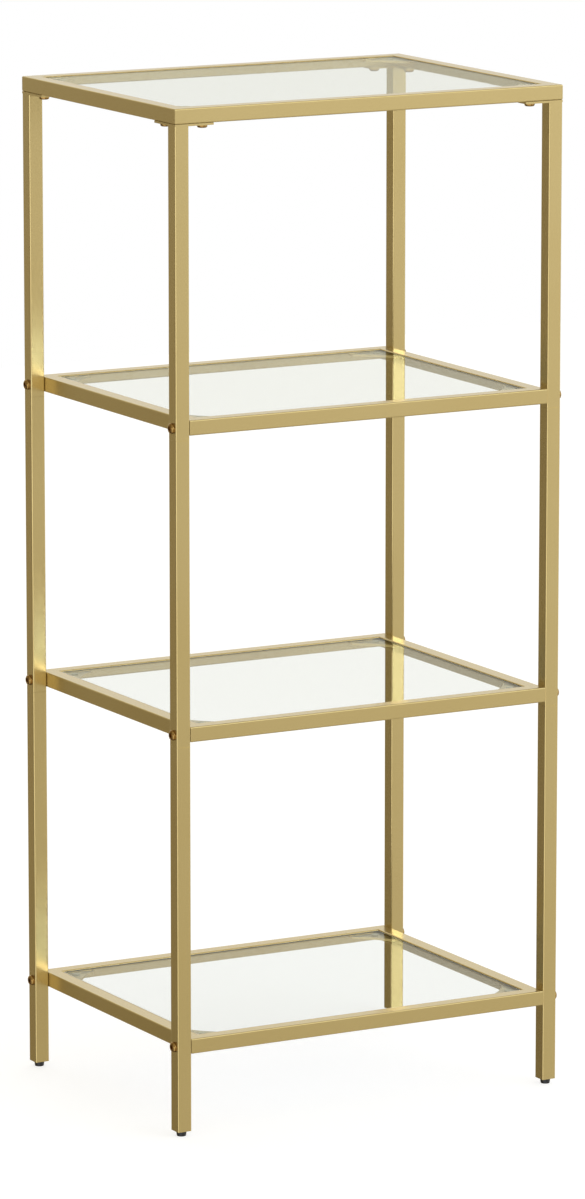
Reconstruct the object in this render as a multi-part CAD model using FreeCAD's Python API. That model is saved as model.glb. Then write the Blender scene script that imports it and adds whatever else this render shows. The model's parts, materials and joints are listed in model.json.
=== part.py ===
import FreeCAD, Part
import math
import os

Vector = FreeCAD.Vector
along_x = Vector(1, 0, 0)
along_y = Vector(0, 1, 0)
up = Vector(0, 0, 1)

# Overall sizes, with the origin on the floor under the middle of the frame
overall_width = 400.0
overall_depth = 300.0

# Square steel tube of the posts and rails
tube_side = 14.0
tube_wall = 1.0
tube_corner_radius = 1.2

# Heights: the feet, then the underside of the bottom frame, then frame to frame
foot_height = 5.0
bottom_frame_height = 77.0
bottom_bay_pitch = 289.0
shelf_pitch = 279.5

# Joint lines of the three-length posts, and the sleeves inside them
seam_drop = 4.0
seam_chamfer = 0.1
sleeve_wall = 1.5
sleeve_reach = 30.0
slip_clearance = 0.1

# Glass panes, let down into their frames
glass_thickness = 5.0
glass_recess = 0.7
glass_edge_gap = 1.0
glass_arris = 0.5

# Corner gussets, and the clear pads on them that carry the glass
gusset_thickness = 2.0
gusset_leg = 32.0
gusset_toe = 4.0
gusset_hollow = 2.5
pad_diameter = 7.0
pad_thickness = 1.0
pad_stem_diameter = 3.0
pad_inset = 10.0

# Plates welded on the post tops, with an ear under each of two top rails
plate_thickness = 2.0
plate_ear_reach = 25.0
plate_hole_reach = 17.0

# Shelf screws, driven sideways through the posts into square nuts in the side rails
shelf_screw_diameter = 6.0
shelf_head_diameter = 9.5
shelf_head_height = 3.0
shelf_socket_flats = 4.0
shelf_socket_depth = 1.8
shelf_nut_thickness = 5.0
shelf_nut_clearance = 1.0

# Top screws, driven upwards through the plate ears into square nuts in the top rails
top_screw_diameter = 5.0
top_head_diameter = 9.5
top_head_height = 2.8
top_socket_flats = 3.0
top_socket_depth = 1.6
top_nut_thickness = 4.0
top_nut_clearance = 2.0

# Common to all screws: the round of the head, the tip past the nut, and radial clearances
head_round_share = 0.6
screw_tip = 1.0
thread_clearance = 0.05
hole_clearance = 0.2

# Levelling feet: a tapered pad on a threaded stud, which screws into a plug in the post end
foot_top_diameter = 9.8
foot_tread_diameter = 8.4
foot_tread_round = 0.6
foot_socket_floor = 2.0
stud_diameter = 6.0
stud_length = 22.0
stud_running_clearance = 0.05
plug_depth = 20.0

# Extra length of every cutting tool, and the tolerance for finding edges
overrun = 1.0
match_tolerance = 0.01

# Sizes that follow from the ones above
tube_bore = tube_side - 2 * tube_wall
half_width = overall_width / 2
half_depth = overall_depth / 2
post_x = half_width - tube_side / 2
post_y = half_depth - tube_side / 2
insert_side = tube_bore - 2 * slip_clearance
tier_heights = {
    "bottom": bottom_frame_height,
    "middle": bottom_frame_height + bottom_bay_pitch,
    "upper": bottom_frame_height + bottom_bay_pitch + shelf_pitch,
    "top": bottom_frame_height + bottom_bay_pitch + 2 * shelf_pitch,
}
middle_seam = tier_heights["middle"] - seam_drop
upper_seam = tier_heights["upper"] - seam_drop
plate_base = tier_heights["top"] - plate_thickness
corners = {
    "front_left": (-1, -1),
    "front_right": (1, -1),
    "back_left": (-1, 1),
    "back_right": (1, 1),
}


# Helpers for bars, tubes, holes and placing

def rounded_bar(size, corner, axis):
    bar = Part.makeBox(size.x, size.y, size.z, corner)
    edges = [(e, e.tangentAt(e.FirstParameter)) for e in bar.Edges]
    long_edges = [e for e, way in edges if way.cross(axis).Length < match_tolerance]
    return bar.makeFillet(tube_corner_radius, long_edges)


def bore_box(size, corner, axis, wall):
    inset = Vector(wall, wall, wall) - axis * (wall + overrun)
    return Part.makeBox(size.x - 2 * inset.x, size.y - 2 * inset.y, size.z - 2 * inset.z, corner + inset)


def square_tube(size, corner, axis):
    return rounded_bar(size, corner, axis).cut(bore_box(size, corner, axis, tube_wall))


def prism(points, height):
    return Part.Face(Part.makePolygon(points + points[:1])).extrude(up * height)


def place(shape, base, direction):
    placed = shape.copy()
    placed.Placement = FreeCAD.Placement(base, FreeCAD.Rotation(up, direction))
    return placed


def save(name, *solids):
    shape = solids[0] if len(solids) == 1 else Part.makeCompound(solids)
    shape.exportStep(os.path.join("parts", name + ".step"))


# Where the screws go: each place is the point under the head, and the way the screw points

def shelf_screw_places(tier):
    z = tier_heights[tier] + tube_side / 2
    return [(Vector(sx * half_width, sy * post_y, z), along_x * -sx) for sx, sy in corners.values()]


def top_screw_places():
    inset = tube_side + plate_hole_reach
    places = []
    for sx, sy in corners.values():
        places.append((Vector(sx * (half_width - inset), sy * post_y, plate_base), up))
        places.append((Vector(sx * post_x, sy * (half_depth - inset), plate_base), up))
    return places


def screw_holes(places, diameter, depth):
    radius = diameter / 2 + hole_clearance
    return [Part.makeCylinder(radius, depth + overrun, at - way * overrun, way) for at, way in places]


# Posts: three lengths each, with a fine chamfer at the joint lines

def post_length(sx, sy, low, high, seams, tier):
    size = Vector(tube_side, tube_side, high - low)
    corner = Vector(sx * post_x - tube_side / 2, sy * post_y - tube_side / 2, low)
    bar = rounded_bar(size, corner, up)
    rims = [
        e
        for e in bar.Edges
        for seam in seams
        if abs(e.BoundBox.ZMin - seam) < match_tolerance and abs(e.BoundBox.ZMax - seam) < match_tolerance
    ]
    tube = bar.makeChamfer(seam_chamfer, rims).cut(bore_box(size, corner, up, tube_wall))
    return tube.cut(screw_holes(shelf_screw_places(tier), shelf_screw_diameter, tube_side + overrun))


def post_sleeve(sx, sy, seam, tier):
    size = Vector(insert_side, insert_side, 2 * sleeve_reach)
    corner = Vector(sx * post_x - insert_side / 2, sy * post_y - insert_side / 2, seam - sleeve_reach)
    sleeve = Part.makeBox(size.x, size.y, size.z, corner).cut(bore_box(size, corner, up, sleeve_wall))
    return sleeve.cut(screw_holes(shelf_screw_places(tier), shelf_screw_diameter, tube_side))


def make_posts():
    for name, (sx, sy) in corners.items():
        lower = post_length(sx, sy, foot_height, middle_seam, [middle_seam], "bottom")
        middle = post_length(sx, sy, middle_seam, upper_seam, [middle_seam, upper_seam], "middle")
        upper = post_length(sx, sy, upper_seam, plate_base, [upper_seam], "upper")
        save("post_" + name + "_lower", lower)
        save("post_" + name + "_middle", middle)
        save("post_" + name + "_upper", upper)
    save("middle_sleeves", *[post_sleeve(sx, sy, middle_seam, "middle") for sx, sy in corners.values()])
    save("upper_sleeves", *[post_sleeve(sx, sy, upper_seam, "upper") for sx, sy in corners.values()])


# Frames: four mitred rails, with holes for the screws

def frame_width(tier):
    return overall_width if tier == "top" else overall_width - 2 * tube_side


def mitre_block(x_outer, y_outer, side, z):
    outer_x = x_outer + overrun
    outer_y = y_outer + overrun
    inner_x = x_outer - tube_side - overrun
    inner_y = y_outer - tube_side - overrun
    if side in ("front", "back"):
        flat = [(-outer_x, -outer_y), (outer_x, -outer_y), (inner_x, -inner_y), (-inner_x, -inner_y)]
    else:
        flat = [(-outer_x, -outer_y), (-outer_x, outer_y), (-inner_x, inner_y), (-inner_x, -inner_y)]
    flip = -1 if side in ("back", "right") else 1
    points = [Vector(flip * x, flip * y, z - overrun) for x, y in flat]
    return prism(points, tube_side + 2 * overrun)


def frame_rail(tier, side):
    z = tier_heights[tier]
    x_outer = frame_width(tier) / 2
    if side in ("front", "back"):
        size = Vector(2 * x_outer, tube_side, tube_side)
        y = -half_depth if side == "front" else half_depth - tube_side
        tube = square_tube(size, Vector(-x_outer, y, z), along_x)
    else:
        size = Vector(tube_side, overall_depth, tube_side)
        x = -x_outer if side == "left" else x_outer - tube_side
        tube = square_tube(size, Vector(x, -half_depth, z), along_y)
    rail = tube.common(mitre_block(x_outer, half_depth, side, z))
    if tier == "top":
        depth = plate_thickness + tube_wall + overrun
        return rail.cut(screw_holes(top_screw_places(), top_screw_diameter, depth))
    depth = tube_side + tube_wall + overrun
    return rail.cut(screw_holes(shelf_screw_places(tier), shelf_screw_diameter, depth))


def make_frames():
    for tier in tier_heights:
        for side in ("front", "back", "left", "right"):
            save(tier + "_rail_" + side, frame_rail(tier, side))


# Gussets, pads and glass, stacked down from the top face of each frame

def glass_top(tier):
    return tier_heights[tier] + tube_side - glass_recess


def glass_base(tier):
    return glass_top(tier) - glass_thickness


def pad_place(tier, sx, sy):
    x = sx * (frame_width(tier) / 2 - tube_side - pad_inset)
    y = sy * (half_depth - tube_side - pad_inset)
    return Vector(x, y, glass_base(tier) - pad_thickness)


def gusset(tier, sx, sy):
    base = glass_base(tier) - pad_thickness - gusset_thickness
    inner = Vector(sx * (frame_width(tier) / 2 - tube_side), sy * (half_depth - tube_side), base)

    def at(across, along):
        return inner - Vector(sx * across, sy * along, 0)

    bow = (gusset_leg + gusset_toe) / 2 - gusset_hollow / math.sqrt(2)
    outline = [inner, at(gusset_leg, 0), at(gusset_leg, gusset_toe)]
    outline_back = [at(gusset_toe, gusset_leg), at(0, gusset_leg), inner]
    edges = [Part.makePolygon(outline), Part.Arc(outline[-1], at(bow, bow), outline_back[0]).toShape()]
    edges.append(Part.makePolygon(outline_back))
    plate = Part.Face(Part.Wire([e for part in edges for e in part.Edges])).extrude(up * gusset_thickness)
    stem_hole_radius = pad_stem_diameter / 2 + thread_clearance
    hole_base = pad_place(tier, sx, sy) - up * (gusset_thickness + overrun)
    return plate.cut(Part.makeCylinder(stem_hole_radius, gusset_thickness + 2 * overrun, hole_base))


def glass_pad(tier, sx, sy):
    seat = pad_place(tier, sx, sy)
    disc = Part.makeCylinder(pad_diameter / 2, pad_thickness, seat)
    stem = Part.makeCylinder(pad_stem_diameter / 2, gusset_thickness, seat - up * gusset_thickness)
    return disc.fuse(stem).removeSplitter()


def glass_pane(tier):
    x_half = frame_width(tier) / 2 - tube_side - glass_edge_gap
    y_half = half_depth - tube_side - glass_edge_gap
    pane = Part.makeBox(2 * x_half, 2 * y_half, glass_thickness, Vector(-x_half, -y_half, glass_base(tier)))
    return pane.makeChamfer(glass_arris, pane.Edges)


def make_shelves():
    for tier in tier_heights:
        save(tier + "_gussets", *[gusset(tier, sx, sy) for sx, sy in corners.values()])
        save(tier + "_glass_pads", *[glass_pad(tier, sx, sy) for sx, sy in corners.values()])
        save(tier + "_glass", glass_pane(tier))


# Top plates: an angle on each post top, reaching under the two rails that meet there

def top_plate(sx, sy):
    reach = tube_side + plate_ear_reach
    flat = [(0, 0), (reach, 0), (reach, tube_side), (tube_side, tube_side), (tube_side, reach), (0, reach)]
    points = [Vector(sx * (half_width - x), sy * (half_depth - y), plate_base) for x, y in flat]
    plate = prism(points, plate_thickness)
    return plate.cut(screw_holes(top_screw_places(), top_screw_diameter, plate_thickness + overrun))


def make_top_plates():
    for name, (sx, sy) in corners.items():
        save("top_plate_" + name, top_plate(sx, sy))


# Screws and nuts, drawn pointing up from the underside of the head

def socket_screw(diameter, length, head_diameter, head_height, flats, socket_depth):
    head = Part.makeCylinder(head_diameter / 2, head_height, up * -head_height)
    crown = [e for e in head.Edges if abs(e.BoundBox.ZMax + head_height) < match_tolerance]
    head = head.makeFillet(head_height * head_round_share, crown)
    corner_radius = flats / math.sqrt(3)
    turns = [2 * math.pi * i / 6 for i in range(6)]
    mouth = up * (-head_height - overrun)
    hexagon = [mouth + Vector(math.cos(t), math.sin(t), 0) * corner_radius for t in turns]
    shank = Part.makeCylinder(diameter / 2, length)
    return head.fuse(shank).removeSplitter().cut(prism(hexagon, socket_depth + overrun))


def square_nut(side, thickness, screw_diameter):
    nut = Part.makeBox(side, side, thickness, Vector(-side / 2, -side / 2, 0))
    bore = Part.makeCylinder(screw_diameter / 2 + thread_clearance, thickness + 2 * overrun, up * -overrun)
    return nut.cut(bore)


def make_shelf_fasteners():
    length = tube_side + tube_wall + shelf_nut_thickness + screw_tip
    head = (shelf_head_diameter, shelf_head_height)
    screw = socket_screw(shelf_screw_diameter, length, *head, shelf_socket_flats, shelf_socket_depth)
    nut = square_nut(tube_bore - 2 * shelf_nut_clearance, shelf_nut_thickness, shelf_screw_diameter)
    places = [p for tier in tier_heights if tier != "top" for p in shelf_screw_places(tier)]
    save("shelf_screws", *[place(screw, at, way) for at, way in places])
    save("shelf_nuts", *[place(nut, at + way * (tube_side + tube_wall), way) for at, way in places])


def make_top_fasteners():
    length = plate_thickness + tube_wall + top_nut_thickness + screw_tip
    head = (top_head_diameter, top_head_height)
    screw = socket_screw(top_screw_diameter, length, *head, top_socket_flats, top_socket_depth)
    nut = square_nut(tube_bore - 2 * top_nut_clearance, top_nut_thickness, top_screw_diameter)
    places = top_screw_places()
    save("top_screws", *[place(screw, at, way) for at, way in places])
    save("top_nuts", *[place(nut, at + way * (plate_thickness + tube_wall), way) for at, way in places])


# Levelling feet

def foot_pad(x, y):
    pad = Part.makeCone(foot_tread_diameter / 2, foot_top_diameter / 2, foot_height, Vector(x, y, 0))
    tread = [e for e in pad.Edges if e.BoundBox.ZMax < match_tolerance]
    pad = pad.makeFillet(foot_tread_round, tread)
    socket_radius = stud_diameter / 2 + stud_running_clearance
    return pad.cut(Part.makeCylinder(socket_radius, foot_height, Vector(x, y, foot_socket_floor)))


def foot_stud(x, y):
    return Part.makeCylinder(stud_diameter / 2, stud_length, Vector(x, y, foot_socket_floor))


def foot_plug(x, y):
    corner = Vector(x - insert_side / 2, y - insert_side / 2, foot_height)
    plug = Part.makeBox(insert_side, insert_side, plug_depth, corner)
    hole_radius = stud_diameter / 2 + stud_running_clearance
    hole_base = Vector(x, y, foot_height - overrun)
    return plug.cut(Part.makeCylinder(hole_radius, plug_depth + 2 * overrun, hole_base))


def make_feet():
    for name, (sx, sy) in corners.items():
        save("foot_pad_" + name, foot_pad(sx * post_x, sy * post_y))
        save("foot_stud_" + name, foot_stud(sx * post_x, sy * post_y))
    save("foot_plugs", *[foot_plug(sx * post_x, sy * post_y) for sx, sy in corners.values()])


os.makedirs("parts", exist_ok=True)
make_posts()
make_frames()
make_shelves()
make_top_plates()
make_shelf_fasteners()
make_top_fasteners()
make_feet()
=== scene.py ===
import json
import math
import bmesh
import bpy
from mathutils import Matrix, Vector


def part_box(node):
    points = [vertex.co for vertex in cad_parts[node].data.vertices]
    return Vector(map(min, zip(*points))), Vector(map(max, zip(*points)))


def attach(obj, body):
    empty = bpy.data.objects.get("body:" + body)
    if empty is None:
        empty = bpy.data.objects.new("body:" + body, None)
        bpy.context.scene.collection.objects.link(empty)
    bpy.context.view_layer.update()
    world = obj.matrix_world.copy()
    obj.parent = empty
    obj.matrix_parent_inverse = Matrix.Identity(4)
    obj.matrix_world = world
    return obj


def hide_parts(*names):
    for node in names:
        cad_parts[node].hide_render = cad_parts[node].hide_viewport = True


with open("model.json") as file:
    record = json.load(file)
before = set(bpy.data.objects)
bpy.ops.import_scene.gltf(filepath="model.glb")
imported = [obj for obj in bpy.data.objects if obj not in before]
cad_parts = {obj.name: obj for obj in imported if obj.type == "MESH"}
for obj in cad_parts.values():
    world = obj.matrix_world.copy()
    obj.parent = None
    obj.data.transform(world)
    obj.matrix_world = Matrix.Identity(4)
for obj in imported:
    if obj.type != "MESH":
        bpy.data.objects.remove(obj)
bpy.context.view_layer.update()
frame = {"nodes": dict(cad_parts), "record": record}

millimetre = 0.001
corners = ("front_left", "front_right", "back_left", "back_right")


def linear(hexColour):  # sRGB hex to the linear colour a socket takes
    channels = [int(hexColour[i:i + 2], 16) / 255 for i in (0, 2, 4)]
    return [c / 12.92 if c <= 0.04045 else ((c + 0.055) / 1.055) ** 2.4 for c in channels] + [1.0]


def addNode(tree, kind, settings={}, links={}):  # a node with its settings, then what feeds it
    node = tree.nodes.new("ShaderNode" + kind)
    for key, value in settings.items():
        if isinstance(key, str) and hasattr(node, key):
            setattr(node, key, value)
        else:
            node.inputs[key].default_value = value
    for key, source in links.items():
        tree.links.new(source, node.inputs[key])
    return node


def fillRamp(ramp, stops):  # sets a colour ramp's stops, in order
    while len(ramp.elements) < len(stops):
        ramp.elements.new(1.0)
    for element, (position, colour) in zip(ramp.elements, stops):
        element.position = position
        element.color = colour


def newMaterial(name):
    material = bpy.data.materials.new(name)
    material.use_nodes = True
    material.node_tree.nodes.clear()
    return material, material.node_tree


def perMetre(sizeInMm):  # noise scale whose features are about this many millimetres
    return 1 / (sizeInMm * millimetre)


# Satin champagne gold: steel tube plated and lacquered, so it mirrors softly and warms what it mirrors.
# The eye gets faint drawing lines along the tube, a slow drift of tone, and a fine lacquer ripple.
goldTube = {
    "tone": "C3AF7A", "deepTone": "BEA870",  # the plating's own colour and its warmer patches
    "roughness": (0.25, 0.27), "metallic": 0.88,
    "driftMm": 120, "lineMm": 0.5, "lineStretch": 0.01, "rippleMm": 1.6,
    "lineDepthMm": 0.0002, "rippleDepthMm": 0.0008,
    "lineSpan": (0.3, 0.7),  # most of the lines' noise lies between these
}


def champagneGold(name, along, look):
    material, tree = newMaterial(name)
    place = addNode(tree, "TexCoord")
    drift = addNode(tree, "TexNoise", {"Scale": perMetre(look["driftMm"]), "Detail": 3.0},
                    {"Vector": place.outputs["Object"]})
    stretch = [look["lineStretch"] if axis == along else 1.0 for axis in "XYZ"]
    drawn = addNode(tree, "Mapping", {"Scale": stretch}, {"Vector": place.outputs["Object"]})
    lines = addNode(tree, "TexNoise", {"Scale": perMetre(look["lineMm"]), "Detail": 2.0},
                    {"Vector": drawn.outputs["Vector"]})  # real lines are finer: drawn this coarse to show
    ripple = addNode(tree, "TexNoise", {"Scale": perMetre(look["rippleMm"]), "Detail": 1.0},
                     {"Vector": place.outputs["Object"]})
    tone = addNode(tree, "MixRGB", {"Color1": linear(look["tone"]), "Color2": linear(look["deepTone"])},
                   {"Fac": drift.outputs["Fac"]})
    gloss = addNode(tree, "MapRange", {"From Min": look["lineSpan"][0], "From Max": look["lineSpan"][1],
                                       "To Min": look["roughness"][0], "To Max": look["roughness"][1]},
                    {"Value": lines.outputs["Fac"]})
    fine = addNode(tree, "Bump", {"Distance": look["lineDepthMm"] * millimetre, "Strength": 1.0},
                   {"Height": lines.outputs["Fac"]})
    soft = addNode(tree, "Bump", {"Distance": look["rippleDepthMm"] * millimetre, "Strength": 1.0},
                   {"Height": ripple.outputs["Fac"], "Normal": fine.outputs["Normal"]})
    metal = addNode(tree, "BsdfPrincipled", {"Metallic": look["metallic"]},
                    {"Base Color": tone.outputs["Color"], "Roughness": gloss.outputs["Result"],
                     "Normal": soft.outputs["Normal"]})
    addNode(tree, "OutputMaterial", {}, {"Surface": metal.outputs["BSDF"]})
    return material


goldFinish = {axis: champagneGold("champagneGold" + axis, axis, goldTube) for axis in "XYZ"}
# The corner gussets are cut from sheet and plated without polishing: the same gold, but dull and paler.
goldSheet = dict(goldTube, tone="D4BE80", deepTone="C8B070", roughness=(0.36, 0.42), metallic=0.75,
                 driftMm=20)
sheetFinish = champagneGold("dullGoldSheet", "X", goldSheet)
print("gold finishes made")

# Bronzed brass: screws plated darker than the tube, worn brighter in random patches.
screwLook = {"tone": "745428", "bright": "B8965A", "roughness": (0.05, 0.12), "patchMm": 2.5}


def bronzedBrass():
    material, tree = newMaterial("bronzedBrass")
    place = addNode(tree, "TexCoord")
    patches = addNode(tree, "TexNoise", {"Scale": perMetre(screwLook["patchMm"]), "Detail": 4.0},
                      {"Vector": place.outputs["Object"]})
    tone = addNode(tree, "MixRGB", {"Color1": linear(screwLook["tone"]),
                                    "Color2": linear(screwLook["bright"])}, {"Fac": patches.outputs["Fac"]})
    gloss = addNode(tree, "MapRange", {"To Min": screwLook["roughness"][0],
                                       "To Max": screwLook["roughness"][1]}, {"Value": patches.outputs["Fac"]})
    metal = addNode(tree, "BsdfPrincipled", {"Metallic": 1.0},
                    {"Base Color": tone.outputs["Color"], "Roughness": gloss.outputs["Result"]})
    addNode(tree, "OutputMaterial", {}, {"Surface": metal.outputs["BSDF"]})
    return material


# Zinc plate on turned steel: a cool grey with small cloudy patches from the bath.
zincLook = {"tone": "B9BDC2", "cloud": "A2A8B0", "roughness": (0.24, 0.38), "cloudMm": 1.5,
            "grainDepthMm": 0.004}


def zincPlate():
    material, tree = newMaterial("zincPlatedSteel")
    place = addNode(tree, "TexCoord")
    cloud = addNode(tree, "TexNoise", {"Scale": perMetre(zincLook["cloudMm"]), "Detail": 4.0},
                    {"Vector": place.outputs["Object"]})
    tone = addNode(tree, "MixRGB", {"Color1": linear(zincLook["tone"]),
                                    "Color2": linear(zincLook["cloud"])}, {"Fac": cloud.outputs["Fac"]})
    gloss = addNode(tree, "MapRange", {"To Min": zincLook["roughness"][0],
                                       "To Max": zincLook["roughness"][1]}, {"Value": cloud.outputs["Fac"]})
    grain = addNode(tree, "Bump", {"Distance": zincLook["grainDepthMm"] * millimetre},
                    {"Height": cloud.outputs["Fac"]})
    metal = addNode(tree, "BsdfPrincipled", {"Metallic": 1.0},
                    {"Base Color": tone.outputs["Color"], "Roughness": gloss.outputs["Result"],
                     "Normal": grain.outputs["Normal"]})
    addNode(tree, "OutputMaterial", {}, {"Surface": metal.outputs["BSDF"]})
    return material


# Clear float glass, toughened: nearly colourless through its face, with a slight green in its depth.
# It mirrors the studio faintly and lets the rails under it show.
glassLook = {
    "clear": "F5F6F7", "mirrored": "FFFFF0", "ior": 1.52,
    "mirror": 0.45, "trapped": 20.0,  # share of the full gloss, and how late total reflection sets in
    "tint": "D6E8DC", "density": 2.0, "waveMm": 60, "waveDepthMm": 0.004, "shade": "F2F6F4",
}


def floatGlass():
    material, tree = newMaterial("floatGlass")
    place = addNode(tree, "TexCoord")
    wave = addNode(tree, "TexNoise", {"Scale": perMetre(glassLook["waveMm"]), "Detail": 1.0},
                   {"Vector": place.outputs["Object"]})  # the faint roller wave of toughened glass
    bump = addNode(tree, "Bump", {"Distance": glassLook["waveDepthMm"] * millimetre},
                   {"Height": wave.outputs["Fac"]})
    through = addNode(tree, "BsdfRefraction", {"Color": linear(glassLook["clear"]), "IOR": glassLook["ior"],
                                               "Roughness": 0.0}, {"Normal": bump.outputs["Normal"]})
    mirrored = addNode(tree, "BsdfGlossy", {"Color": linear(glassLook["mirrored"]), "Roughness": 0.0},
                       {"Normal": bump.outputs["Normal"]})
    glancing = addNode(tree, "Fresnel", {"IOR": glassLook["ior"]}, {"Normal": bump.outputs["Normal"]})
    faint = addNode(tree, "Math", {"operation": "MULTIPLY", 1: glassLook["mirror"]},
                    {0: glancing.outputs["Fac"]})
    trapped = addNode(tree, "Math", {"operation": "POWER", 1: glassLook["trapped"]},
                      {0: glancing.outputs["Fac"]})
    share = addNode(tree, "Math", {"operation": "MAXIMUM"},  # light past the critical angle stays in
                    {0: faint.outputs["Value"], 1: trapped.outputs["Value"]})
    glass = addNode(tree, "MixShader", {}, {0: share.outputs["Value"], 1: through.outputs["BSDF"],
                                            2: mirrored.outputs["BSDF"]})
    passed = addNode(tree, "MixRGB", {"Color1": linear(glassLook["shade"]), "Color2": (0, 0, 0, 1)},
                     {"Fac": glancing.outputs["Fac"]})  # little lamplight passes at a glancing angle
    clear = addNode(tree, "BsdfTransparent", {}, {"Color": passed.outputs["Color"]})
    path = addNode(tree, "LightPath")
    pane = addNode(tree, "MixShader", {}, {0: path.outputs["Is Shadow Ray"], 1: glass.outputs["Shader"],
                                           2: clear.outputs["BSDF"]})  # direct light passes a pane
    inside = addNode(tree, "VolumeAbsorption", {"Color": linear(glassLook["tint"]),
                                                "Density": glassLook["density"]})
    addNode(tree, "OutputMaterial", {}, {"Surface": pane.outputs["Shader"],
                                         "Volume": inside.outputs["Volume"]})
    return material


# Glass edge and its rounding, opaque. Seen through the pane it is painted shade in deep brown, standing in for
# the shaded gap at the rail. Seen from outside it has a painted pale sheen.
edgeShadeLook = {
    # the two brown tones are painted shade, the pale one is a painted sheen
    "tone": "57461E", "deepTone": "463818", "paintedSheen": "E6E4D6", "roughness": (0.3, 0.4), "shadeAndGrindMm": 1.2,
}


def paintedEdgeShade():
    material, tree = newMaterial("glassEdgePaintedShadeAndSheen")
    place = addNode(tree, "TexCoord")
    shadeAndGrind = addNode(tree, "TexNoise", {"Scale": perMetre(edgeShadeLook["shadeAndGrindMm"]), "Detail": 2.0},
                    {"Vector": place.outputs["Object"]})  # what the grinding wheel left under the polish, in the roughness; in the tone, uneven painted shade
    tone = addNode(tree, "MixRGB", {"Color1": linear(edgeShadeLook["tone"]),
                                    "Color2": linear(edgeShadeLook["deepTone"])}, {"Fac": shadeAndGrind.outputs["Fac"]})
    gloss = addNode(tree, "MapRange", {"To Min": edgeShadeLook["roughness"][0],
                                       "To Max": edgeShadeLook["roughness"][1]}, {"Value": shadeAndGrind.outputs["Fac"]})
    within = addNode(tree, "NewGeometry")
    # painted shade where the edge is seen from inside the pane, painted sheen where it is seen from outside
    side = addNode(tree, "MixRGB", {"Color1": linear(edgeShadeLook["paintedSheen"])},
                   {"Fac": within.outputs["Backfacing"], "Color2": tone.outputs["Color"]})
    rim = addNode(tree, "BsdfPrincipled", {"IOR": glassLook["ior"]},
                  {"Base Color": side.outputs["Color"], "Roughness": gloss.outputs["Result"]})
    addNode(tree, "OutputMaterial", {}, {"Surface": rim.outputs["BSDF"]})
    return material


# Clear silicone bumpers: milky and soft, with a dull skin. Their gold tone is painted, standing in for the
# gusset seen through them.
padLook = {"tone": "D8CC9C", "roughness": (0.3, 0.45), "ior": 1.41, "skinMm": 0.8, "milk": 0.4,
           "milkMm": 1.0}


def siliconePad():
    material, tree = newMaterial("clearSilicone")
    place = addNode(tree, "TexCoord")
    skin = addNode(tree, "TexNoise", {"Scale": perMetre(padLook["skinMm"]), "Detail": 2.0},
                   {"Vector": place.outputs["Object"]})
    gloss = addNode(tree, "MapRange", {"To Min": padLook["roughness"][0],
                                       "To Max": padLook["roughness"][1]}, {"Value": skin.outputs["Fac"]})
    rubber = addNode(tree, "BsdfPrincipled", {"Base Color": linear(padLook["tone"]), "IOR": padLook["ior"],
                                              "Subsurface Weight": padLook["milk"],
                                              "Subsurface Radius": (1, 1, 1),
                                              "Subsurface Scale": padLook["milkMm"] * millimetre},
                     {"Roughness": gloss.outputs["Result"]})
    addNode(tree, "OutputMaterial", {}, {"Surface": rubber.outputs["BSDF"]})
    return material


# Black moulded polypropylene: near black, satin, with the fine spark-eroded grain of its mould.
plasticLook = {"tone": "17171A", "rubbed": "222226", "roughness": (0.28, 0.42), "ior": 1.49,
               "grainMm": 0.35, "grainDepthMm": 0.01}


def mouldedPlastic():
    material, tree = newMaterial("blackPolypropylene")
    place = addNode(tree, "TexCoord")
    grain = addNode(tree, "TexNoise", {"Scale": perMetre(plasticLook["grainMm"]), "Detail": 2.0},
                    {"Vector": place.outputs["Object"]})
    tone = addNode(tree, "MixRGB", {"Color1": linear(plasticLook["tone"]),
                                    "Color2": linear(plasticLook["rubbed"])}, {"Fac": grain.outputs["Fac"]})
    gloss = addNode(tree, "MapRange", {"To Min": plasticLook["roughness"][0],
                                       "To Max": plasticLook["roughness"][1]}, {"Value": grain.outputs["Fac"]})
    bump = addNode(tree, "Bump", {"Distance": plasticLook["grainDepthMm"] * millimetre},
                   {"Height": grain.outputs["Fac"]})
    plastic = addNode(tree, "BsdfPrincipled", {"IOR": plasticLook["ior"]},
                      {"Base Color": tone.outputs["Color"], "Roughness": gloss.outputs["Result"],
                       "Normal": bump.outputs["Normal"]})
    addNode(tree, "OutputMaterial", {}, {"Surface": plastic.outputs["BSDF"]})
    return material


finishes = {"gold_screw": bronzedBrass(), "zinc_steel": zincPlate(), "clear_glass": floatGlass(),
            "clear_pad": siliconePad(), "black_plastic": mouldedPlastic(), "glass_edge": paintedEdgeShade()}
print("other finishes made:", ", ".join(m.name for m in finishes.values()))


def lengthwise(node):  # the axis that a tube runs along
    low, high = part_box(node)
    size = high - low
    return "XYZ"[max(range(3), key=lambda i: size[i])]


slotOf = {row["node"]: row["material_slot"] for row in frame["record"]["subparts"]}
for node, piece in frame["nodes"].items():
    slot = slotOf[node]
    if node.endswith("_gussets"):
        finish = sheetFinish
    else:
        finish = goldFinish[lengthwise(node)] if slot in ("gold_tube", "gold_plate") else finishes[slot]
    if not piece.material_slots:
        piece.data.materials.append(finish)
    for held in piece.material_slots:
        held.material = finish
print("finishes on the CAD nodes")


def takeUp(piece):  # leaves one piece selected and active
    bpy.ops.object.select_all(action="DESELECT")
    piece.select_set(True)
    bpy.context.view_layer.objects.active = piece


def pickEdges(piece, test):  # in edit mode, selects the edges that pass a test
    bpy.ops.mesh.select_mode(type="EDGE")
    bpy.ops.mesh.select_all(action="DESELECT")
    mesh = bmesh.from_edit_mesh(piece.data)
    for edge in mesh.edges:
        edge.select = bool(test(edge))
    mesh.select_flush_mode()
    bmesh.update_edit_mesh(piece.data)


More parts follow.
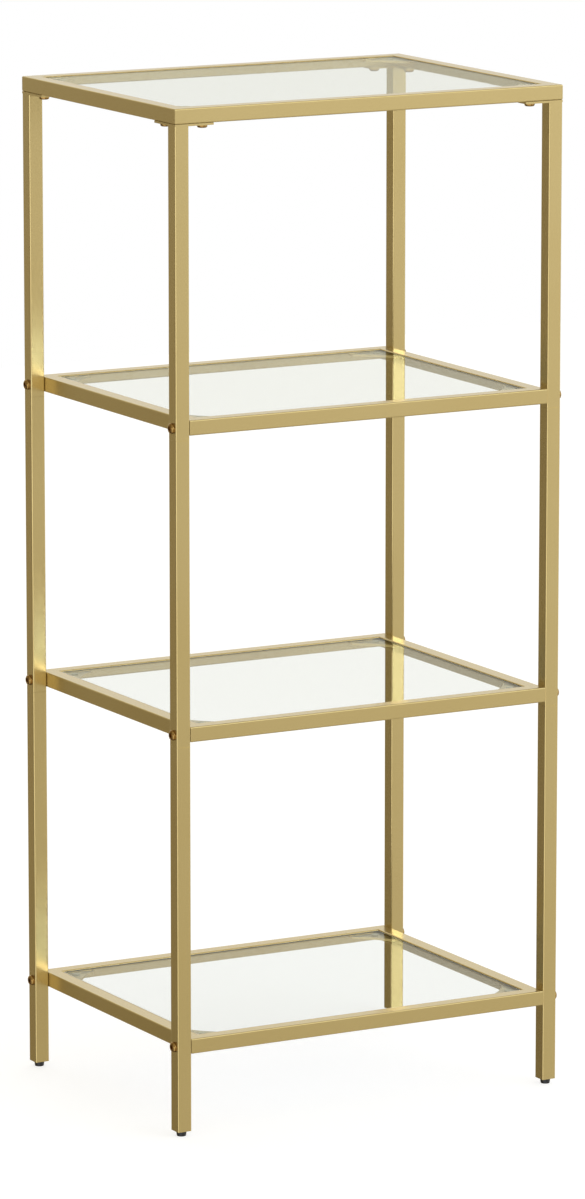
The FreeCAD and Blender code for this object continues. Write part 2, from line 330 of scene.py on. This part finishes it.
def addModifier(piece, kind, **settings):  # a modifier with its settings, applied at once
    takeUp(piece)
    bpy.ops.object.modifier_add(type=kind)
    modifier = piece.modifiers[-1]
    for key, value in settings.items():
        setattr(modifier, key, value)
    bpy.ops.object.modifier_apply(modifier=modifier.name)


def copyPiece(piece, name, shift):  # a copy with its own mesh, moved and then set back at the origin
    takeUp(piece)
    bpy.ops.object.duplicate(linked=False)
    twin = bpy.context.object
    twin.name = twin.data.name = name
    bpy.ops.transform.translate(value=shift)
    bpy.ops.object.transform_apply(location=True, rotation=False, scale=False)
    return twin


def standsFor(piece, node, finish):  # a modelled piece takes a CAD node's place, body and slot
    piece.data.materials.clear()
    piece.data.materials.append(finish)
    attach(piece, node)
    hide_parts(node)


# Shelf panes: float glass cut to size, corners dubbed, edges ground round and polished, then toughened.
paneShape = {
    "cornerMm": 2.5, "edgeRoundMm": 0.5, "steps": 4, "clearOfPadsMm": 0.1, "smoothDegrees": 40,
    "faceNormal": 0.9, "sideNormal": 0.1,  # the upright part of a normal: more on the faces, less on the sides
    "rimNormal": 0.99,  # less than this all round the rim
}


def makePane(tier):
    low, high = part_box(tier + "_glass")
    low.z += paneShape["clearOfPadsMm"] * millimetre
    bpy.ops.object.select_all(action="DESELECT")
    bpy.ops.mesh.primitive_cube_add(size=1, location=(low + high) / 2, scale=high - low)
    pane = bpy.context.object
    pane.name = pane.data.name = "polishedPane_" + tier
    bpy.ops.object.transform_apply(location=True, rotation=True, scale=True)
    bpy.ops.object.mode_set(mode="EDIT")
    pickEdges(pane, lambda e: abs(e.verts[0].co.z - e.verts[1].co.z) > millimetre)  # the four upright corners
    bpy.ops.mesh.bevel(offset=paneShape["cornerMm"] * millimetre, segments=paneShape["steps"])
    pickEdges(pane, lambda e: any(abs(f.normal.z) > paneShape["faceNormal"] for f in e.link_faces)
              and any(abs(f.normal.z) < paneShape["sideNormal"] for f in e.link_faces))  # above and below
    bpy.ops.mesh.bevel(offset=paneShape["edgeRoundMm"] * millimetre, segments=paneShape["steps"])
    bpy.ops.mesh.select_all(action="SELECT")
    bpy.ops.mesh.normals_make_consistent(inside=False)
    bpy.ops.object.mode_set(mode="OBJECT")
    bpy.ops.object.shade_smooth_by_angle(angle=math.radians(paneShape["smoothDegrees"]))
    addModifier(pane, "WEIGHTED_NORMAL", keep_sharp=True)  # flat faces stay flat up to their rims
    return pane


panes = {"top": makePane("top"), "upper": makePane("upper")}
for tier in ("middle", "bottom"):
    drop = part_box(tier + "_glass")[0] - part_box("upper_glass")[0]
    panes[tier] = copyPiece(panes["upper"], "polishedPane_" + tier, drop)
for tier, pane in panes.items():
    standsFor(pane, tier + "_glass", finishes["clear_glass"])
    pane.data.materials.append(finishes["glass_edge"])
    for face in pane.data.polygons:
        face.material_index = int(abs(face.normal.z) < paneShape["rimNormal"])  # the edge's painted shade and sheen
print("panes modelled:", len(panes))

# Levelling studs: a coarse 6 mm thread rolled on steel, seen under the post when a foot is let out.
studShape = {
    "majorMm": 6.0, "minorMm": 4.9, "pitchMm": 1.0, "crestMm": 0.16, "flankMm": 0.34,
    "leadInTurns": 1.413, "spareTurns": 3,  # starts between two steps, so that no point lies in a cut
    "steps": 28, "mergeMm": 0.001, "smoothDegrees": 35,
}


def makeStud(corner):
    low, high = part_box("foot_stud_" + corner)
    pitch = studShape["pitchMm"] * millimetre
    depth = (studShape["majorMm"] - studShape["minorMm"]) / 2 * millimetre
    crest, flank = studShape["crestMm"] * millimetre, studShape["flankMm"] * millimetre
    turns = round((high.z - low.z) / pitch) + studShape["spareTurns"]  # more at both ends, to be cut off
    bpy.ops.object.select_all(action="DESELECT")
    bpy.ops.mesh.primitive_plane_add(size=pitch, location=(0, 0, 0))
    stud = bpy.context.object
    stud.name = stud.data.name = "threadedStud_" + corner
    bpy.ops.object.mode_set(mode="EDIT")
    bpy.ops.mesh.select_mode(type="VERT")
    bpy.ops.mesh.select_all(action="SELECT")
    bpy.ops.mesh.merge(type="CENTER")
    root = studShape["minorMm"] / 2 * millimetre
    bpy.ops.transform.translate(value=(root, 0, low.z - studShape["leadInTurns"] * pitch))
    tooth = ((depth, flank), (0, crest), (-depth, flank), (0, pitch - crest - 2 * flank))  # then its root
    for outward, upward in tooth:
        bpy.ops.mesh.extrude_region_move(TRANSFORM_OT_translate={"value": (outward, 0, upward)})
    bpy.ops.object.mode_set(mode="OBJECT")
    addModifier(stud, "SCREW", axis="Z", screw_offset=pitch, iterations=turns, steps=studShape["steps"],
                render_steps=studShape["steps"], use_merge_vertices=False)
    bpy.ops.object.mode_set(mode="EDIT")
    bpy.ops.mesh.select_all(action="SELECT")
    bpy.ops.mesh.remove_doubles(threshold=studShape["mergeMm"] * millimetre)
    for height, away in ((low.z, -1), (high.z, 1)):  # both ends cut square, then closed
        bpy.ops.mesh.select_all(action="SELECT")
        bpy.ops.mesh.bisect(plane_co=(0, 0, height), plane_no=(0, 0, away), clear_outer=True)
    bpy.ops.mesh.select_all(action="SELECT")
    bpy.ops.mesh.fill_holes(sides=0)
    bpy.ops.mesh.select_all(action="SELECT")
    bpy.ops.mesh.normals_make_consistent(inside=False)
    bpy.ops.object.mode_set(mode="OBJECT")
    bpy.ops.object.shade_smooth_by_angle(angle=math.radians(studShape["smoothDegrees"]))
    bpy.ops.transform.translate(value=((low.x + high.x) / 2, (low.y + high.y) / 2, 0))
    bpy.ops.object.transform_apply(location=True, rotation=False, scale=False)
    return stud


studs = {corners[0]: makeStud(corners[0])}
for corner in corners[1:]:
    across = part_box("foot_stud_" + corner)[0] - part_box("foot_stud_" + corners[0])[0]
    studs[corner] = copyPiece(studs[corners[0]], "threadedStud_" + corner, across)
for corner, stud in studs.items():
    standsFor(stud, "foot_stud_" + corner, finishes["zinc_steel"])
print("studs modelled:", len(studs))

# Studio: a white floor that keeps a faint shadow, two rings of soft light round the object, one large dim
# soft box, and a bright patch that shows only in second reflections.
studio = {
    "floorSide": 8.0, "floorGlow": 0.78, "floorPaper": "A0A0A0",
    "low": ((-180, 1.0), (-165, 0.85), (-155, 0.64), (-148, 0.34), (-138, 0.16), (-110, 0.25), (-90, 1.20),
            (-70, 2.00), (-10, 2.00), (5, 0.90), (22, 0.83), (27, 1.02), (32, 1.28), (40, 1.42), (60, 1.40),
            (90, 1.20), (120, 0.70), (150, 0.80), (180, 1.0)),  # lower ring: degrees from the front, level
    "high": ((-180, 1.0), (-165, 0.85), (-155, 0.55), (-148, 0.40), (-110, 0.40), (-80, 0.7), (-40, 0.5),
             (0, 0.7), (30, 1.2), (60, 0.7), (110, 0.85), (140, 1.0), (180, 1.0)),  # upper ring
    "lowFade": (-0.30, -0.02, 0.65, 1.14), "highRise": (0.10, 0.27, 0.93, 1.16),  # two heights, their levels
    "horizon": (0.00, 0.16), "fullRamp": 2.0,  # where the rings meet, and the level at a ramp's full white
    "unmirrored": 0.5, "twiceMirrored": 1.5,  # Glossy Depth below the one, above the other
    "tints": ((0.18, "FFF2E6"), (0.40, "FFE9A4"), (0.80, "FFFDF4"), (1.40, "FAFCFF")),  # warm dim, cool bright
    "boxPlace": (2.4, -3.7, 2.10), "boxAim": (0, 0, 0.5), "boxSize": (3.6, 2.0), "boxWatts": 35.0,
    "boxColour": "D4E5FF",
    "glintTurn": (33, 20), "glintRise": (0.27, 0.18),  # the patch: middle and half width
    "glintLevel": 5.4, "glintColour": "D4E5FF",
}


def seenByCamera(tree):  # 1 where the camera looks straight or through glass, 0 in what metal mirrors
    path = addNode(tree, "LightPath")
    straight = addNode(tree, "Math", {"operation": "MAXIMUM"},
                       {0: path.outputs["Is Camera Ray"], 1: path.outputs["Is Transmission Ray"]})
    unmirrored = addNode(tree, "Math", {"operation": "LESS_THAN", 1: studio["unmirrored"]},
                         {0: path.outputs["Glossy Depth"]})
    return addNode(tree, "Math", {"operation": "MULTIPLY"},
                   {0: straight.outputs["Value"], 1: unmirrored.outputs["Value"]})


def makeFloor():
    bpy.ops.object.select_all(action="DESELECT")
    bpy.ops.mesh.primitive_plane_add(size=studio["floorSide"], location=(0, 0, 0))
    floor = bpy.context.object
    floor.name = "studioFloor"
    floor.visible_glossy = False  # metal shows the studio, not the paper's edge
    material, tree = newMaterial("studioPaper")
    glow = addNode(tree, "Math", {"operation": "MULTIPLY", 1: studio["floorGlow"]},
                   {0: seenByCamera(tree).outputs["Value"]})
    paper = addNode(tree, "BsdfPrincipled", {"Base Color": linear(studio["floorPaper"]), "Roughness": 1.0,
                                             "Specular IOR Level": 0.0, "Emission Color": (1, 1, 1, 1)},
                    {"Emission Strength": glow.outputs["Value"]})
    facing = addNode(tree, "NewGeometry")
    clear = addNode(tree, "BsdfTransparent")
    oneWay = addNode(tree, "MixShader", {}, {0: facing.outputs["Backfacing"], 1: paper.outputs["BSDF"],
                                             2: clear.outputs["BSDF"]})  # clear from below
    addNode(tree, "OutputMaterial", {}, {"Surface": oneWay.outputs["Shader"]})
    floor.data.materials.append(material)


def makeSurround():
    world = bpy.data.worlds.new("softStudio")
    bpy.context.scene.world = world
    world.use_nodes = True
    tree = world.node_tree
    tree.nodes.clear()
    place = addNode(tree, "TexCoord")
    axes = addNode(tree, "SeparateXYZ", {}, {0: place.outputs["Generated"]})
    front = addNode(tree, "Math", {"operation": "MULTIPLY", 1: -1.0}, {0: axes.outputs["Y"]})
    angle = addNode(tree, "Math", {"operation": "ARCTAN2"}, {0: axes.outputs["X"], 1: front.outputs["Value"]})
    turn = addNode(tree, "MapRange", {"From Min": -math.pi, "From Max": math.pi},
                   {"Value": angle.outputs["Value"]})
    rings = {}
    for name, (bottom, top, least, most) in (("low", studio["lowFade"]), ("high", studio["highRise"])):
        ring = addNode(tree, "ValToRGB", {}, {"Fac": turn.outputs["Result"]})
        fillRamp(ring.color_ramp, [((degrees + 180) / 360, [level / studio["fullRamp"]] * 3 + [1])
                                   for degrees, level in studio[name]])  # scaled, as a ramp ends at 1
        rise = addNode(tree, "MapRange", {"From Min": bottom, "From Max": top,
                                          "To Min": studio["fullRamp"] * least,
                                          "To Max": studio["fullRamp"] * most}, {"Value": axes.outputs["Z"]})
        rings[name] = addNode(tree, "Math", {"operation": "MULTIPLY"},
                              {0: ring.outputs["Color"], 1: rise.outputs["Result"]})
    over = addNode(tree, "MapRange", {"interpolation_type": "SMOOTHSTEP", "From Min": studio["horizon"][0],
                                      "From Max": studio["horizon"][1]}, {"Value": axes.outputs["Z"]})
    level = addNode(tree, "Mix", {"data_type": "FLOAT"},
                    {0: over.outputs["Result"], 2: rings["low"].outputs["Value"],
                     3: rings["high"].outputs["Value"]})
    scaled = addNode(tree, "Math", {"operation": "MULTIPLY", 1: 1 / studio["fullRamp"]},
                     {0: level.outputs[0]})
    tint = addNode(tree, "ValToRGB", {}, {"Fac": scaled.outputs["Value"]})
    fillRamp(tint.color_ramp, [(share / studio["fullRamp"], linear(colour))
                               for share, colour in studio["tints"]])
    studioLight = addNode(tree, "Background", {}, {"Color": tint.outputs["Color"],
                                                   "Strength": level.outputs[0]})
    path = addNode(tree, "LightPath")
    twice = addNode(tree, "Math", {"operation": "GREATER_THAN", 1: studio["twiceMirrored"]},
                    {0: path.outputs["Glossy Depth"]})  # no glare in a pane seen straight
    aside = addNode(tree, "Math", {"operation": "COMPARE", 1: (studio["glintTurn"][0] + 180) / 360,
                                   2: studio["glintTurn"][1] / 360}, {0: turn.outputs["Result"]})
    above = addNode(tree, "Math", {"operation": "COMPARE", 1: studio["glintRise"][0],
                                   2: studio["glintRise"][1]}, {0: axes.outputs["Z"]})
    patch = addNode(tree, "Math", {"operation": "MULTIPLY"},
                    {0: aside.outputs["Value"], 1: above.outputs["Value"]})
    shine = addNode(tree, "Math", {"operation": "MULTIPLY", 1: studio["glintLevel"]},
                    {0: patch.outputs["Value"]})
    glint = addNode(tree, "Math", {"operation": "MULTIPLY"},
                    {0: shine.outputs["Value"], 1: twice.outputs["Value"]})
    glow = addNode(tree, "Background", {"Color": linear(studio["glintColour"])},
                   {"Strength": glint.outputs["Value"]})
    lit = addNode(tree, "AddShader", {}, {0: studioLight.outputs["Background"],
                                          1: glow.outputs["Background"]})
    white = addNode(tree, "Background", {"Color": (1, 1, 1, 1), "Strength": 1.0})
    shown = addNode(tree, "MixShader", {}, {0: seenByCamera(tree).outputs["Value"], 1: lit.outputs["Shader"],
                                            2: white.outputs["Background"]})  # white behind the object
    addNode(tree, "OutputWorld", {}, {"Surface": shown.outputs["Shader"]})


def makeSoftBox():
    lamp = bpy.data.lights.new("softBox", "AREA")
    lamp.shape = "RECTANGLE"
    lamp.size, lamp.size_y = studio["boxSize"]
    lamp.energy = studio["boxWatts"]
    lamp.color = linear(studio["boxColour"])[:3]
    holder = bpy.data.objects.new("softBox", lamp)
    holder.location = studio["boxPlace"]
    aim = Vector(studio["boxAim"]) - holder.location
    holder.rotation_euler = aim.to_track_quat("-Z", "Y").to_euler()
    bpy.context.scene.collection.objects.link(holder)


makeFloor()
makeSurround()
makeSoftBox()
print("studio lit")

# The photograph's own view: a long lens a little over the top shelf, turned to the left front corner.
view = {
    "place": (-2.9920, -5.4133, 1.6352), "turn": 28.943, "tilt": 10.804,
    "focalPixels": 6777.2, "tallPixels": 1199, "filmMm": 36,
}
camera = bpy.data.cameras.new("photoView")
camera.lens = view["focalPixels"] / view["tallPixels"] * view["filmMm"]
camera.sensor_width = view["filmMm"]
cameraHolder = bpy.data.objects.new("photoView", camera)
cameraHolder.location = view["place"]
cameraHolder.rotation_euler = (math.radians(90 - view["tilt"]), 0, -math.radians(view["turn"]))
bpy.context.scene.collection.objects.link(cameraHolder)
bpy.context.scene.camera = cameraHolder
bpy.context.scene.view_settings.view_transform = "Standard"
print("camera set")
